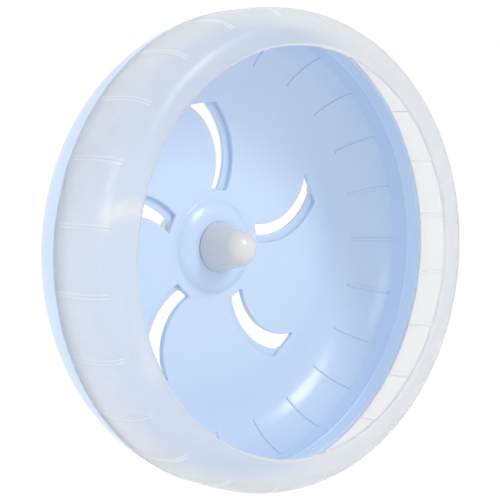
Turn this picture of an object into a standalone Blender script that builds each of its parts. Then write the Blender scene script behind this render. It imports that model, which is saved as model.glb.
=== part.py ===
"""Exercise wheel for a small pet, on a ball bearing, with a cage clamp behind.

The wheel is a dished rear shell with a milky front ring snapped to its rim.
It turns on a ball bearing in the shell's hub. The bearing sits on an axle bolt
that a flange, a pressure disc and a wing nut grip to the wires of a cage.

Frame: metres, +Z up, the axle along Y, the open front towards -Y.
The origin is on the axle, on the rubber face that meets the cage wall.
"""

import math

import bmesh
import bpy
from mathutils import Matrix, Vector

# Units and shared clearances
MM = 0.001
SEAT_GAP = 0.3 * MM
CUT_OVERRUN = 1.0 * MM

# Facets of the round shapes
WHEEL_STEPS = 52
HUB_STEPS = 28
SMALL_STEPS = 20
SHARP_ANGLE = math.radians(35.0)

# Wheel as a whole
WHEEL_RADIUS = 85.0 * MM
RIB_COUNT = 24
SLOT_COUNT = 5

# Axle bolt, M6
THREAD_PITCH = 1.0 * MM
AXLE_RADIUS = 3.0 * MM
HEAD_FLATS = 10.0 * MM
HEAD_HEIGHT = 4.0 * MM
WASHER_RADIUS = 6.0 * MM
WASHER_THICK = 1.6 * MM
AXLE_TIP_CHAMFER = 0.6 * MM

# Ball bearing, 19 by 6 by 6
BEARING_RADIUS = 9.5 * MM
BEARING_WIDTH = 6.0 * MM
BALL_COUNT = 7
BALL_RADIUS = 1.5 * MM
BALL_PITCH_RADIUS = 6.25 * MM
RACE_LAND_DEPTH = 0.55 * MM
SHIELD_THICK = 0.3 * MM
SHIELD_INSET = 0.2 * MM
SHIELD_STEP = 0.45 * MM
CAGE_BACK = 0.4 * MM
CAGE_FINGER = 0.9 * MM

# Retaining ring behind the bearing
CIRCLIP_THICK = 1.0 * MM
CIRCLIP_HOLD = 0.6 * MM
CIRCLIP_WIDTH = 1.7 * MM
CIRCLIP_OPENING = 4.5 * MM
CIRCLIP_EAR_RADIUS = 1.5 * MM
CIRCLIP_EYE_RADIUS = 0.7 * MM

# Rear shell: hub
SLEEVE_WALL = 1.8 * MM
SLEEVE_MOUTH = 0.7 * MM
SHOULDER_THICK = 2.0 * MM
BOSS_FOOT_RADIUS = 18.4 * MM
BOSS_TOE_RADIUS = 17.4 * MM
BOSS_TOE_RISE = 0.5 * MM
BOSS_BROW_RADIUS = 16.9 * MM
BOSS_BROW_RISE = 1.8 * MM
BOSS_DOME_RADIUS = 11.1 * MM
BOSS_DOME_SLOPE = math.radians(25.0)
BOSS_CREST_RADIUS = 11.6 * MM
BOSS_HEIGHT = 3.5 * MM
BOSS_RECESS = 0.5 * MM

# Rear shell: dish and rim
SHELL_WALL = 2.2 * MM
SHELL_FILLET = 24.4 * MM
SHELL_RIM_INSET = 0.5 * MM
HUB_REACH = 5.4 * MM
DISH_DEPTH = 24.8 * MM
CREASE_ANGLE = math.radians(22.0)
BAND_STEP = 0.6 * MM
BAND_START = 2.4 * MM
SEAM_BREAK = 0.25 * MM

# Snap joint between the rear shell and the front ring
TONGUE_LENGTH = 4.0 * MM
TONGUE_WALL = 1.6 * MM
SKIRT_WALL = 1.8 * MM
SNAP_HEIGHT = 0.45 * MM
SNAP_HALF = 0.5 * MM
SNAP_PLACE = 2.4 * MM

# Front ring
RING_DEPTH = 28.4 * MM
RING_WALL = 2.4 * MM
RING_STRAIGHT = 9.0 * MM
LIP_ROLL = 14.0 * MM
RING_ROUNDNESS = 2.8

# Running ribs
RIB_WIDTH = 1.1 * MM
RIB_HEIGHT = 0.7 * MM
RIB_ROOT = 0.8 * MM
REAR_RIB_START = math.radians(66.0)
RING_RIB_OFFSET = math.radians(7.1)
RING_RIB_END = math.radians(52.0)

# Pinwheel slots in the disc, as seen from the front: each has a hollow side and a
# bulging side, two arcs whose ends lie on an inner and an outer circle
SLOT_HUB_MARGIN = 3.0 * MM
SLOT_RIM_MARGIN = 7.0 * MM
SLOT_START = math.radians(93.0)
SLOT_TWIST = math.radians(9.6)
SLOT_INNER_WIDTH = 4.3 * MM
SLOT_OUTER_WIDTH = 9.0 * MM
HOLLOW_BOW_SHARE = 0.2106
BULGE_BOW_SHARE = 0.1731
LEDGE_WIDTH = 2.8 * MM
LEDGE_DEPTH = 2.4 * MM
SCOOP_DEPTH = 1.3 * MM
SCOOP_WALL = 1.4 * MM

# Hub cap
CAP_RADIUS = 9.35 * MM
CAP_DOME_RADIUS = 6.4 * MM
CAP_LENGTH = 17.1 * MM
CAP_WALL = 1.4 * MM
CAP_SPIGOT_ROOM = 0.8 * MM
CAP_SPIGOT_WALL = 1.1 * MM
CAP_SPIGOT_SHORT = 0.3 * MM
CAP_BEAD = 0.35 * MM

# Cage clamp
FLANGE_RADIUS = 16.0 * MM
FLANGE_THICK = 4.2 * MM
FLANGE_EDGE = 2.6 * MM
FLANGE_FACE_RADIUS = 12.0 * MM
BUSH_RADIUS = 4.5 * MM
BUSH_LENGTH = 3.7 * MM
JAM_NUT_THICK = 1.8 * MM
PAD_RADIUS = 12.2 * MM
PAD_HOLE_RADIUS = 6.6 * MM
PAD_THICK = 1.4 * MM
PAD_PROUD = 0.6 * MM
CAGE_WIRE = 2.6 * MM
DISC_RADIUS = 13.4 * MM
DISC_BACK_RADIUS = 10.0 * MM
DISC_THICK = 3.2 * MM

# Wing nut
NUT_RADIUS = 6.0 * MM
NUT_TOP_RADIUS = 5.0 * MM
NUT_HEIGHT = 6.0 * MM
WING_REACH = 14.0 * MM
WING_RISE = 10.0 * MM
WING_THICK = 2.4 * MM
WING_FOOT = 1.2 * MM
WING_CORNER = 3.0 * MM
NUT_OPEN_TRAVEL = 3.4 * MM
AXLE_SPARE = 1.2 * MM

# Planes along the axle, from the cage wall forward (towards -Y)
PAD_FRONT = -PAD_THICK
WELL_FLOOR = PAD_FRONT - SEAT_GAP
FLANGE_REAR = -PAD_PROUD
FLANGE_FRONT = FLANGE_REAR - FLANGE_THICK
BUSH_REAR = FLANGE_FRONT - SEAT_GAP
BUSH_FRONT = BUSH_REAR - BUSH_LENGTH
BEARING_REAR = BUSH_FRONT - SEAT_GAP
BEARING_FRONT = BEARING_REAR - BEARING_WIDTH
BEARING_MIDDLE = (BEARING_REAR + BEARING_FRONT) / 2
WASHER_REAR = BEARING_FRONT - SEAT_GAP
WASHER_FRONT = WASHER_REAR - WASHER_THICK
HEAD_REAR = WASHER_FRONT - SEAT_GAP
HEAD_FRONT = HEAD_REAR - HEAD_HEIGHT
SHOULDER_REAR = BEARING_FRONT - SEAT_GAP
SHOULDER_FRONT = SHOULDER_REAR - SHOULDER_THICK
CLIP_GROOVE_REAR = BEARING_REAR + CIRCLIP_THICK + 2 * SEAT_GAP
SLEEVE_REAR = CLIP_GROOVE_REAR + SLEEVE_MOUTH
CAP_BASE = SHOULDER_FRONT - SEAT_GAP

# The boss's crest stands proud of the shoulder that the cap sits on
BOSS_CREST = SHOULDER_FRONT - BOSS_RECESS
DISC_FRONT = BOSS_CREST + BOSS_HEIGHT
DISC_REAR = DISC_FRONT + SHELL_WALL
SEAM = DISC_REAR - DISH_DEPTH

# Planes behind the cage wall
REAR_PAD_FRONT = CAGE_WIRE
REAR_PAD_REAR = REAR_PAD_FRONT + PAD_THICK
DISC_WELL_FLOOR = REAR_PAD_REAR + SEAT_GAP
PRESS_FRONT = REAR_PAD_FRONT + PAD_PROUD
PRESS_REAR = PRESS_FRONT + DISC_THICK
NUT_FRONT = PRESS_REAR + SEAT_GAP
NUT_REAR = NUT_FRONT + NUT_HEIGHT
AXLE_END = NUT_REAR + NUT_OPEN_TRAVEL + AXLE_SPARE

# Radii that follow from others
AXLE_HOLE_RADIUS = AXLE_RADIUS + SEAT_GAP
SEAT_RADIUS = BEARING_RADIUS + SEAT_GAP
CLIP_GROOVE_RADIUS = SEAT_RADIUS + CIRCLIP_HOLD + SEAT_GAP
SLEEVE_RADIUS = CLIP_GROOVE_RADIUS + SLEEVE_WALL
SHELL_RIM_RADIUS = WHEEL_RADIUS - SHELL_RIM_INSET
FILLET_CENTRE_RADIUS = SHELL_RIM_RADIUS - SHELL_FILLET
FILLET_CENTRE = DISC_REAR - SHELL_FILLET
INNER_FILLET = SHELL_FILLET - SHELL_WALL
LIP_RADIUS = WHEEL_RADIUS - LIP_ROLL
SLOT_INNER_RADIUS = BOSS_FOOT_RADIUS + SLOT_HUB_MARGIN
SLOT_OUTER_RADIUS = FILLET_CENTRE_RADIUS - SLOT_RIM_MARGIN
SLOT_BULGE_START = SLOT_START - SLOT_INNER_WIDTH / SLOT_INNER_RADIUS
SLOT_BULGE_TWIST = SLOT_TWIST - (SLOT_OUTER_WIDTH / SLOT_OUTER_RADIUS
                                 - SLOT_INNER_WIDTH / SLOT_INNER_RADIUS)
SKIRT_RADIUS = WHEEL_RADIUS - SKIRT_WALL
TONGUE_RADIUS = SKIRT_RADIUS - SEAT_GAP
HEAD_CORNER_RADIUS = HEAD_FLATS / 2 / math.cos(math.pi / 6)
CAP_BORE_RADIUS = max(WASHER_RADIUS, HEAD_CORNER_RADIUS) + CAP_SPIGOT_ROOM
CAP_SPIGOT_RADIUS = CAP_BORE_RADIUS + CAP_SPIGOT_WALL
CAP_SOCKET_RADIUS = CAP_RADIUS + SEAT_GAP
CAP_HOLE_RADIUS = CAP_SPIGOT_RADIUS + SEAT_GAP
BALL_ROOM = BALL_RADIUS + SEAT_GAP
OUTER_GROOVE = BALL_PITCH_RADIUS + BALL_ROOM
INNER_GROOVE = BALL_PITCH_RADIUS - BALL_ROOM
OUTER_LAND = OUTER_GROOVE - RACE_LAND_DEPTH
INNER_LAND = INNER_GROOVE + RACE_LAND_DEPTH
RACE_HALF = BEARING_WIDTH / 2
NUT_FLATS = HEAD_FLATS


def clear_scene():
    """Remove every object that a new file starts with."""
    for item in list(bpy.data.objects):
        bpy.data.objects.remove(item, do_unlink=True)


def plastic(name, colour, roughness, alpha=1.0):
    """Return a plastic material."""
    return principled(name, colour, roughness, 0.0, alpha)


def principled(name, colour, roughness, metallic, alpha=1.0):
    """Return a Principled material of one colour."""
    material = bpy.data.materials.new(name)
    material.use_nodes = True
    shader = material.node_tree.nodes["Principled BSDF"]
    shader.inputs["Base Color"].default_value = (*colour, 1.0)
    shader.inputs["Roughness"].default_value = roughness
    shader.inputs["Metallic"].default_value = metallic
    shader.inputs["Alpha"].default_value = alpha
    material.diffuse_color = (*colour, alpha)
    return material


def object_from(bm, name, material):
    """Turn a bmesh into a smooth-shaded object with a clean outside."""
    bmesh.ops.recalc_face_normals(bm, faces=bm.faces)
    mesh = bpy.data.meshes.new(name)
    bm.to_mesh(mesh)
    bm.free()
    mesh.shade_smooth()
    mesh.set_sharp_from_angle(angle=SHARP_ANGLE)
    if material is not None:
        mesh.materials.append(material)
    item = bpy.data.objects.new(name, mesh)
    bpy.context.scene.collection.objects.link(item)
    return item


def spin_profile(bm, profile, steps, closed=True):
    """Turn (radius, y) points about the Y axis and return the first and last rings."""
    verts = [bm.verts.new((radius, y, 0.0)) for radius, y in profile]
    pairs = list(zip(verts, verts[1:]))
    if closed:
        pairs.append((verts[-1], verts[0]))
    edges = [bm.edges.new(pair) for pair in pairs]
    first, last = verts[0].co.copy(), verts[-1].co.copy()
    bmesh.ops.spin(bm, geom=verts + edges, axis=(0.0, 1.0, 0.0), cent=(0.0, 0.0, 0.0),
                   angle=2.0 * math.pi, steps=steps, use_merge=True)
    return ring_edges(bm, first), ring_edges(bm, last)


def ring_edges(bm, point):
    """Return the open edges on the circle that a profile point has turned."""
    radius, height = point.x, point.y
    near = SEAT_GAP / 100

    def on_ring(vert):
        return (abs(vert.co.y - height) < near
                and abs(math.hypot(vert.co.x, vert.co.z) - radius) < near)

    return [edge for edge in bm.edges
            if edge.is_boundary and all(on_ring(vert) for vert in edge.verts)]


def turned(name, profile, steps, material):
    """Return a solid of revolution about the Y axis from a closed profile."""
    bm = bmesh.new()
    spin_profile(bm, profile, steps)
    bmesh.ops.remove_doubles(bm, verts=bm.verts, dist=SEAT_GAP / 1000)
    return object_from(bm, name, material)


def extruded(bm, outline, depth, place):
    """Add a prism: an outline in the XY plane, extruded to depth and placed."""
    base = [bm.verts.new(place @ Vector((u, v, 0.0))) for u, v in outline]
    face = bm.faces.new(base)
    grown = bmesh.ops.extrude_face_region(bm, geom=[face])
    shift = place.to_3x3() @ Vector((0.0, 0.0, depth))
    moved = [part for part in grown["geom"] if isinstance(part, bmesh.types.BMVert)]
    bmesh.ops.translate(bm, verts=moved, vec=shift)


def boolean(target, tool, operation):
    """Combine a target with a tool object, which stays in the file as a guide."""
    tool.hide_render = True
    tool.display_type = "WIRE"
    step = target.modifiers.new(tool.name, "BOOLEAN")
    step.operation = operation
    step.solver = "EXACT"
    step.object = tool


def arc(centre, radius, start, stop, count):
    """Return points on an arc, with both ends, angles from the first axis."""
    turn = (stop - start) / count
    return [(centre[0] + radius * math.cos(start + turn * k),
             centre[1] + radius * math.sin(start + turn * k)) for k in range(count + 1)]


def eased(start, stop, count):
    """Return points from start to stop with a level start and a level end."""
    points = []
    for k in range(1, count + 1):
        share = k / count
        blend = (1.0 - math.cos(math.pi * share)) / 2
        points.append((start[0] + (stop[0] - start[0]) * share,
                       start[1] + (stop[1] - start[1]) * blend))
    return points


def hexagon(flats):
    """Return the six corners of a hexagon from its width across flats."""
    corner = flats / 2 / math.cos(math.pi / 6)
    return [(corner * math.cos(math.pi / 3 * k), corner * math.sin(math.pi / 3 * k))
            for k in range(6)]


def along_axle(y):
    """Return the placement of an outline seen from the front, at a plane along Y."""
    return Matrix(((1, 0, 0, 0), (0, 0, 1, y), (0, 1, 0, 0), (0, 0, 0, 1)))


def outward_from(radius):
    """Return the placement of a (y, z) outline that is extruded outward along +X."""
    return Matrix(((0, 0, 1, radius), (1, 0, 0, 0), (0, 1, 0, 0), (0, 0, 0, 1)))


def about_axle(angle):
    """Return a turn about the axle, counter-clockwise as seen from the front."""
    return Matrix.Rotation(-angle, 4, "Y")


def rear_shell_dish_profile():
    """Return the dish from the disc's rear face, round the rim, to its front face."""
    bridge = BOSS_FOOT_RADIUS + HUB_REACH
    centre = (FILLET_CENTRE_RADIUS, FILLET_CENTRE)
    outer = arc(centre, SHELL_FILLET, math.pi / 2, 0.0, 6)
    inner = arc(centre, INNER_FILLET, CREASE_ANGLE, math.pi / 2, 5)
    tip = SEAM - TONGUE_LENGTH
    snap = SEAM - SNAP_PLACE
    inside = TONGUE_RADIUS - TONGUE_WALL
    crease = inner[0][0]
    return [
        (bridge, DISC_REAR),
        *outer,
        (SHELL_RIM_RADIUS, SEAM + SEAM_BREAK),
        (SHELL_RIM_RADIUS - SEAM_BREAK, SEAM),
        (TONGUE_RADIUS, SEAM),
        (TONGUE_RADIUS, snap + SNAP_HALF),
        (TONGUE_RADIUS + SNAP_HEIGHT, snap),
        (TONGUE_RADIUS, snap - SNAP_HALF),
        (TONGUE_RADIUS, tip + SEAT_GAP),
        (TONGUE_RADIUS - SEAT_GAP, tip),
        (inside, tip),
        (crease - BAND_STEP / 2, SEAM + BAND_START - BAND_STEP),
        (crease + BAND_STEP / 2, SEAM + BAND_START),
        *inner,
        (bridge, DISC_FRONT),
    ]


def rear_shell_hub_profile():
    """Return the hub from the disc's front face, over the boss, to its rear face."""
    dome = arc((BOSS_CREST_RADIUS, BOSS_CREST + BOSS_DOME_RADIUS), BOSS_DOME_RADIUS,
               BOSS_DOME_SLOPE - math.pi / 2, -math.pi / 2, 3)
    groove = (SHOULDER_FRONT + SHOULDER_REAR) / 2
    return [
        (BOSS_FOOT_RADIUS, DISC_FRONT),
        (BOSS_TOE_RADIUS, DISC_FRONT - BOSS_TOE_RISE),
        (BOSS_BROW_RADIUS, DISC_FRONT - BOSS_BROW_RISE),
        *dome,
        *eased(dome[-1], (CAP_SOCKET_RADIUS, SHOULDER_FRONT), 2),
        (CAP_HOLE_RADIUS, SHOULDER_FRONT),
        (CAP_HOLE_RADIUS, groove - CAP_BEAD),
        (CAP_HOLE_RADIUS + CAP_BEAD, groove),
        (CAP_HOLE_RADIUS, groove + CAP_BEAD),
        (CAP_HOLE_RADIUS, SHOULDER_REAR),
        (SEAT_RADIUS, SHOULDER_REAR),
        (SEAT_RADIUS, BEARING_REAR),
        (CLIP_GROOVE_RADIUS, BEARING_REAR),
        (CLIP_GROOVE_RADIUS, CLIP_GROOVE_REAR),
        (SEAT_RADIUS, CLIP_GROOVE_REAR),
        (SEAT_RADIUS, SLEEVE_REAR),
        (SLEEVE_RADIUS, SLEEVE_REAR),
        (SLEEVE_RADIUS, DISC_REAR),
    ]


def slot_side(start, twist, bow_share):
    """Return the centre and radius of a slot's side, which bows clockwise of its chord.

    The side runs from the inner circle at the heading start to the outer circle,
    twist further on. Its bow is a share of its chord.
    """
    near = Vector((math.cos(start), math.sin(start))) * SLOT_INNER_RADIUS
    far = Vector((math.cos(start + twist), math.sin(start + twist))) * SLOT_OUTER_RADIUS
    chord = far - near
    bow = chord.length * bow_share
    radius = (chord.length ** 2 / 4 + bow ** 2) / (2 * bow)
    left = Vector((-chord.y, chord.x)).normalized()
    centre = (near + far) / 2 + left * (radius - bow)
    return (centre.x, centre.y), radius


def slot_outline(widening):
    """Return a slot seen from the front, its bulging side moved out by a widening."""
    hollow_centre, hollow_radius = slot_side(SLOT_START, SLOT_TWIST, HOLLOW_BOW_SHARE)
    bulge_centre, bulge_radius = slot_side(SLOT_BULGE_START, SLOT_BULGE_TWIST, BULGE_BOW_SHARE)
    bulge_radius += widening
    hollow = circle_span(hollow_centre, hollow_radius, SLOT_INNER_RADIUS, SLOT_OUTER_RADIUS)
    bulge = circle_span(bulge_centre, bulge_radius, SLOT_INNER_RADIUS, SLOT_OUTER_RADIUS)
    return (arc(hollow_centre, hollow_radius, *hollow, 7)
            + arc(bulge_centre, bulge_radius, *reversed(bulge), 7))


def circle_span(centre, radius, inner, outer):
    """Return the angles where a circle meets the slot's inner and outer circles."""
    reach = math.hypot(*centre)
    heading = math.atan2(centre[1], centre[0])

    def meeting(limit):
        cosine = (reach ** 2 + radius ** 2 - limit ** 2) / (2 * reach * radius)
        return heading + math.pi + math.acos(cosine)

    return meeting(inner), meeting(outer)


def ledge_outline():
    """Return a slot with the ledge along its bulging side, both with the same ends."""
    opening = slot_outline(0.0)
    wide = slot_outline(LEDGE_WIDTH)
    half = len(opening) // 2
    return [*opening[:half + 1], *wide[half:], opening[-1]]


def five_round(name, outline, start, stop):
    """Return an outline seen from the front, extruded from start to stop at each slot."""
    bm = bmesh.new()
    for k in range(SLOT_COUNT):
        turn = about_axle(2 * math.pi * k / SLOT_COUNT)
        extruded(bm, outline, stop - start, turn @ along_axle(start))
    return object_from(bm, name, None)


def slot_cutters():
    """Return the cutters for the slots, straight through the disc and its scoops."""
    front = DISC_FRONT - CUT_OVERRUN
    return five_round("slot_cutters", slot_outline(0.0), front, DISC_REAR + SCOOP_DEPTH + CUT_OVERRUN)


def ledge_cutters():
    """Return the cutters for the slots and the ledges sunk beside them."""
    front = DISC_FRONT - CUT_OVERRUN
    return five_round("ledge_cutters", ledge_outline(), front, DISC_FRONT + LEDGE_DEPTH)


def scoop_blanks():
    """Return the low scoops behind the disc, which carry the ledges."""
    return five_round("scoop_blanks", scoop_outline(), DISC_REAR - SHELL_WALL / 2,
                      DISC_REAR + SCOOP_DEPTH)


def scoop_outline():
    """Return the scoop's outline: a band outside the slot's bulging arc."""
    centre, bulge_radius = slot_side(SLOT_BULGE_START, SLOT_BULGE_TWIST, BULGE_BOW_SHARE)
    inner = SLOT_INNER_RADIUS - SCOOP_WALL
    outer = SLOT_OUTER_RADIUS + SCOOP_WALL
    far = bulge_radius + LEDGE_WIDTH + SCOOP_WALL
    near = bulge_radius - SCOOP_WALL
    out = circle_span(centre, near, inner, outer)
    back = circle_span(centre, far, inner, outer)
    return arc(centre, near, *out, 6) + arc(centre, far, *reversed(back), 6)


def rib_bank(name, outline, offset):
    """Return ribs all round: a (radius, y) outline made RIB_WIDTH thick."""
    bm = bmesh.new()
    sideways = Matrix.Translation((0.0, 0.0, -RIB_WIDTH / 2))
    for k in range(RIB_COUNT):
        turn = about_axle(offset + 2 * math.pi * k / RIB_COUNT)
        extruded(bm, outline, RIB_WIDTH, turn @ sideways)
    return object_from(bm, name, None)


def rear_ribs():
    """Return the ribs that stand on the dish's inner fillet."""
    centre = (FILLET_CENTRE_RADIUS, FILLET_CENTRE)
    crest = arc(centre, INNER_FILLET - RIB_HEIGHT, CREASE_ANGLE, REAR_RIB_START, 4)
    root = arc(centre, INNER_FILLET + RIB_ROOT, REAR_RIB_START, CREASE_ANGLE, 3)
    return rib_bank("rear_ribs", crest + root, 0.0)


def build_rear_shell(material):
    """Build the dish with its hub, ribs, scoops and slots."""
    bm = bmesh.new()
    dish_rear, dish_front = spin_profile(bm, rear_shell_dish_profile(), WHEEL_STEPS, False)
    hub_front, hub_rear = spin_profile(bm, rear_shell_hub_profile(), HUB_STEPS, False)
    bmesh.ops.bridge_loops(bm, edges=dish_front + hub_front)
    bmesh.ops.bridge_loops(bm, edges=dish_rear + hub_rear)
    shell = object_from(bm, "rear_shell", material)
    boolean(shell, rear_ribs(), "UNION")
    boolean(shell, scoop_blanks(), "UNION")
    boolean(shell, slot_cutters(), "DIFFERENCE")
    boolean(shell, ledge_cutters(), "DIFFERENCE")
    return shell


def ring_curve(inset, start, stop, count):
    """Return the ring's tyre-like curve, a wall's depth inside its outer face."""
    lip_centre = LIP_RADIUS + RING_WALL / 2
    across = WHEEL_RADIUS - inset - lip_centre
    along = RING_DEPTH - RING_STRAIGHT - inset
    power = 2.0 / RING_ROUNDNESS
    points = []
    for k in range(count + 1):
        angle = start + (stop - start) * k / count
        points.append((lip_centre + across * max(math.cos(angle), 0.0) ** power,
                       SEAM - RING_STRAIGHT - along * math.sin(angle) ** power))
    return points


def front_ring_profile():
    """Return the ring from its rear edge over the lip and back inside."""
    outer = ring_curve(0.0, 0.0, math.pi / 2, 8)
    inner = ring_curve(RING_WALL, math.pi / 2, 0.0, 6)
    nose = (LIP_RADIUS + RING_WALL / 2, SEAM - RING_DEPTH + RING_WALL / 2)
    lip = arc(nose, RING_WALL / 2, -math.pi / 2, -3 * math.pi / 2, 4)[1:-1]
    edge = SEAM - SEAT_GAP
    stop = SEAM - TONGUE_LENGTH - SEAT_GAP
    snap = SEAM - SNAP_PLACE
    return [
        (WHEEL_RADIUS - SEAM_BREAK, edge),
        (WHEEL_RADIUS, edge - SEAM_BREAK),
        *outer,
        *lip,
        *inner,
        (WHEEL_RADIUS - RING_WALL, stop),
        (SKIRT_RADIUS, stop),
        (SKIRT_RADIUS, snap - SNAP_HALF),
        (SKIRT_RADIUS + SNAP_HEIGHT, snap),
        (SKIRT_RADIUS, snap + SNAP_HALF),
        (SKIRT_RADIUS, edge),
    ]


def ring_ribs():
    """Return the ribs that run from the ring's shoulder up its inner curve."""
    start = SEAM - TONGUE_LENGTH - 2 * SEAT_GAP
    crest = ring_curve(RING_WALL + RIB_HEIGHT, 0.0, RING_RIB_END, 3)
    root = ring_curve(RING_WALL - RIB_ROOT, RING_RIB_END, 0.0, 3)
    outline = [(crest[0][0], start), *crest, *root, (root[-1][0], start)]
    return rib_bank("ring_ribs", outline, RING_RIB_OFFSET)


def build_front_ring(material):
    """Build the milky front ring with its running ribs."""
    ring = turned("front_ring", front_ring_profile(), WHEEL_STEPS, material)
    boolean(ring, ring_ribs(), "UNION")
    return ring


def build_hub_cap(material):
    """Build the hollow cap: a cone that runs into a dome, over a snap spigot."""
    centre = CAP_BASE - CAP_LENGTH + CAP_DOME_RADIUS
    run = CAP_BASE - centre
    lean = math.atan2(run, CAP_RADIUS) - math.acos(CAP_DOME_RADIUS / math.hypot(run, CAP_RADIUS))
    outer = arc((0.0, centre), CAP_DOME_RADIUS, lean, -math.pi / 2, 5)
    inner = arc((0.0, centre), CAP_DOME_RADIUS - CAP_WALL, -math.pi / 2, lean, 4)
    spigot_end = SHOULDER_REAR - CAP_SPIGOT_SHORT
    bead = (SHOULDER_FRONT + SHOULDER_REAR) / 2
    profile = [
        (CAP_RADIUS, CAP_BASE),
        *outer[:-1],
        (0.0, outer[-1][1]),
        (0.0, inner[0][1]),
        *inner[1:],
        (CAP_BORE_RADIUS, CAP_BASE - CAP_WALL),
        (CAP_BORE_RADIUS, spigot_end),
        (CAP_SPIGOT_RADIUS, spigot_end),
        (CAP_SPIGOT_RADIUS, bead + CAP_BEAD),
        (CAP_SPIGOT_RADIUS + CAP_BEAD, bead),
        (CAP_SPIGOT_RADIUS, bead - CAP_BEAD),
        (CAP_SPIGOT_RADIUS, CAP_BASE),
    ]
    return turned("hub_cap", profile, SMALL_STEPS, material)


def race_profile(bore, land, groove, step):
    """Return a race: its bore or rim, its lands, shield steps and ball groove."""
    side = 1.0 if land > bore else -1.0
    reach = math.sqrt(BALL_ROOM ** 2 - (BALL_ROOM - RACE_LAND_DEPTH) ** 2)
    rebate = land - side * step
    inset = RACE_HALF - SHIELD_INSET - SHIELD_THICK - SEAT_GAP
    return [
        (bore, BEARING_MIDDLE - RACE_HALF),
        (rebate, BEARING_MIDDLE - RACE_HALF),
        (rebate, BEARING_MIDDLE - inset),
        (land, BEARING_MIDDLE - inset),
        (land, BEARING_MIDDLE - reach),
        (groove, BEARING_MIDDLE - reach / 3),
        (groove, BEARING_MIDDLE + reach / 3),
        (land, BEARING_MIDDLE + reach),
        (land, BEARING_MIDDLE + inset),
        (rebate, BEARING_MIDDLE + inset),
        (rebate, BEARING_MIDDLE + RACE_HALF),
        (bore, BEARING_MIDDLE + RACE_HALF),
    ]


def build_bearing(steel, shield_metal, cage_plastic):
    """Build the races, the crown cage, the balls and the two shields."""
    turned("bearing_outer_race",
           race_profile(BEARING_RADIUS, OUTER_LAND, OUTER_GROOVE, SHIELD_STEP),
           SMALL_STEPS, steel)
    turned("bearing_inner_race",
           race_profile(AXLE_HOLE_RADIUS, INNER_LAND, INNER_GROOVE, 0.0),
           SMALL_STEPS, steel)
    for name, side in (("bearing_shield_front", -1), ("bearing_shield_rear", 1)):
        build_shield(name, side, shield_metal)
    build_ball_cage(cage_plastic)
    for k in range(BALL_COUNT):
        build_ball(f"bearing_ball_{k + 1:02d}", 2 * math.pi * k / BALL_COUNT, steel)


def build_shield(name, side, material):
    """Build one pressed shield, held in the outer race and clear of the inner."""
    outer = BEARING_MIDDLE + side * (RACE_HALF - SHIELD_INSET)
    inner = outer - side * SHIELD_THICK
    rim = OUTER_LAND + SHIELD_STEP - SEAT_GAP
    hole = INNER_LAND + SEAT_GAP
    turned(name, [(rim, outer), (rim, inner), (hole, inner), (hole, outer)],
           SMALL_STEPS, material)


def build_ball_cage(material):
    """Build the crown cage: a ring with a pocket open to one side for each ball."""
    half = (OUTER_LAND - INNER_LAND) / 2 - SEAT_GAP
    back = BEARING_MIDDLE + BALL_ROOM + CAGE_BACK
    front = BEARING_MIDDLE - CAGE_FINGER
    inner = BALL_PITCH_RADIUS - half
    outer = BALL_PITCH_RADIUS + half
    cage = turned("bearing_cage", [(inner, front), (outer, front), (outer, back), (inner, back)],
                  SMALL_STEPS + BALL_COUNT - SMALL_STEPS % BALL_COUNT, material)
    bm = bmesh.new()
    for k in range(BALL_COUNT):
        turn = about_axle(2 * math.pi * k / BALL_COUNT)
        pocket = arc((BEARING_MIDDLE, 0.0), BALL_ROOM, 0.0, 2 * math.pi, 12)[:-1]
        extruded(bm, pocket, 2 * (half + CUT_OVERRUN), turn @ outward_from(inner - CUT_OVERRUN))
    boolean(cage, object_from(bm, "pocket_cutters", None), "DIFFERENCE")


def build_ball(name, angle, material):
    """Build one ball on the pitch circle."""
    bm = bmesh.new()
    centre = about_axle(angle) @ Vector((BALL_PITCH_RADIUS, BEARING_MIDDLE, 0.0))
    bmesh.ops.create_icosphere(bm, subdivisions=2, radius=BALL_RADIUS,
                               matrix=Matrix.Translation(centre))
    object_from(bm, name, material)


def build_circlip(material):
    """Build the spring ring in the sleeve's groove, open at the top, with two ears."""
    rim = SEAT_RADIUS + CIRCLIP_HOLD
    bore = rim - CIRCLIP_WIDTH
    plane = BEARING_REAR + SEAT_GAP
    half_gap = math.asin(CIRCLIP_OPENING / 2 / rim)
    start = math.pi / 2 + half_gap
    stop = math.pi / 2 - half_gap + 2 * math.pi
    outline = arc((0.0, 0.0), rim, start, stop, 20) + arc((0.0, 0.0), bore, stop, start, 20)
    bm = bmesh.new()
    extruded(bm, outline, CIRCLIP_THICK, along_axle(plane))
    clip = object_from(bm, "bearing_circlip", material)
    ears, eyes = bmesh.new(), bmesh.new()
    for side in (-1, 1):
        heading = math.pi / 2 + side * (half_gap + math.asin(CIRCLIP_EAR_RADIUS / 2 / bore))
        reach = rim - CIRCLIP_EAR_RADIUS - CIRCLIP_WIDTH / 2
        spot = (reach * math.cos(heading), reach * math.sin(heading))
        extruded(ears, arc(spot, CIRCLIP_EAR_RADIUS, 0.0, 2 * math.pi, 12)[:-1],
                 CIRCLIP_THICK, along_axle(plane))
        extruded(eyes, arc(spot, CIRCLIP_EYE_RADIUS, 0.0, 2 * math.pi, 8)[:-1],
                 CIRCLIP_THICK + 2 * CUT_OVERRUN, along_axle(plane - CUT_OVERRUN))
    boolean(clip, object_from(ears, "circlip_ears", None), "UNION")
    boolean(clip, object_from(eyes, "circlip_eyes", None), "DIFFERENCE")


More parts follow.
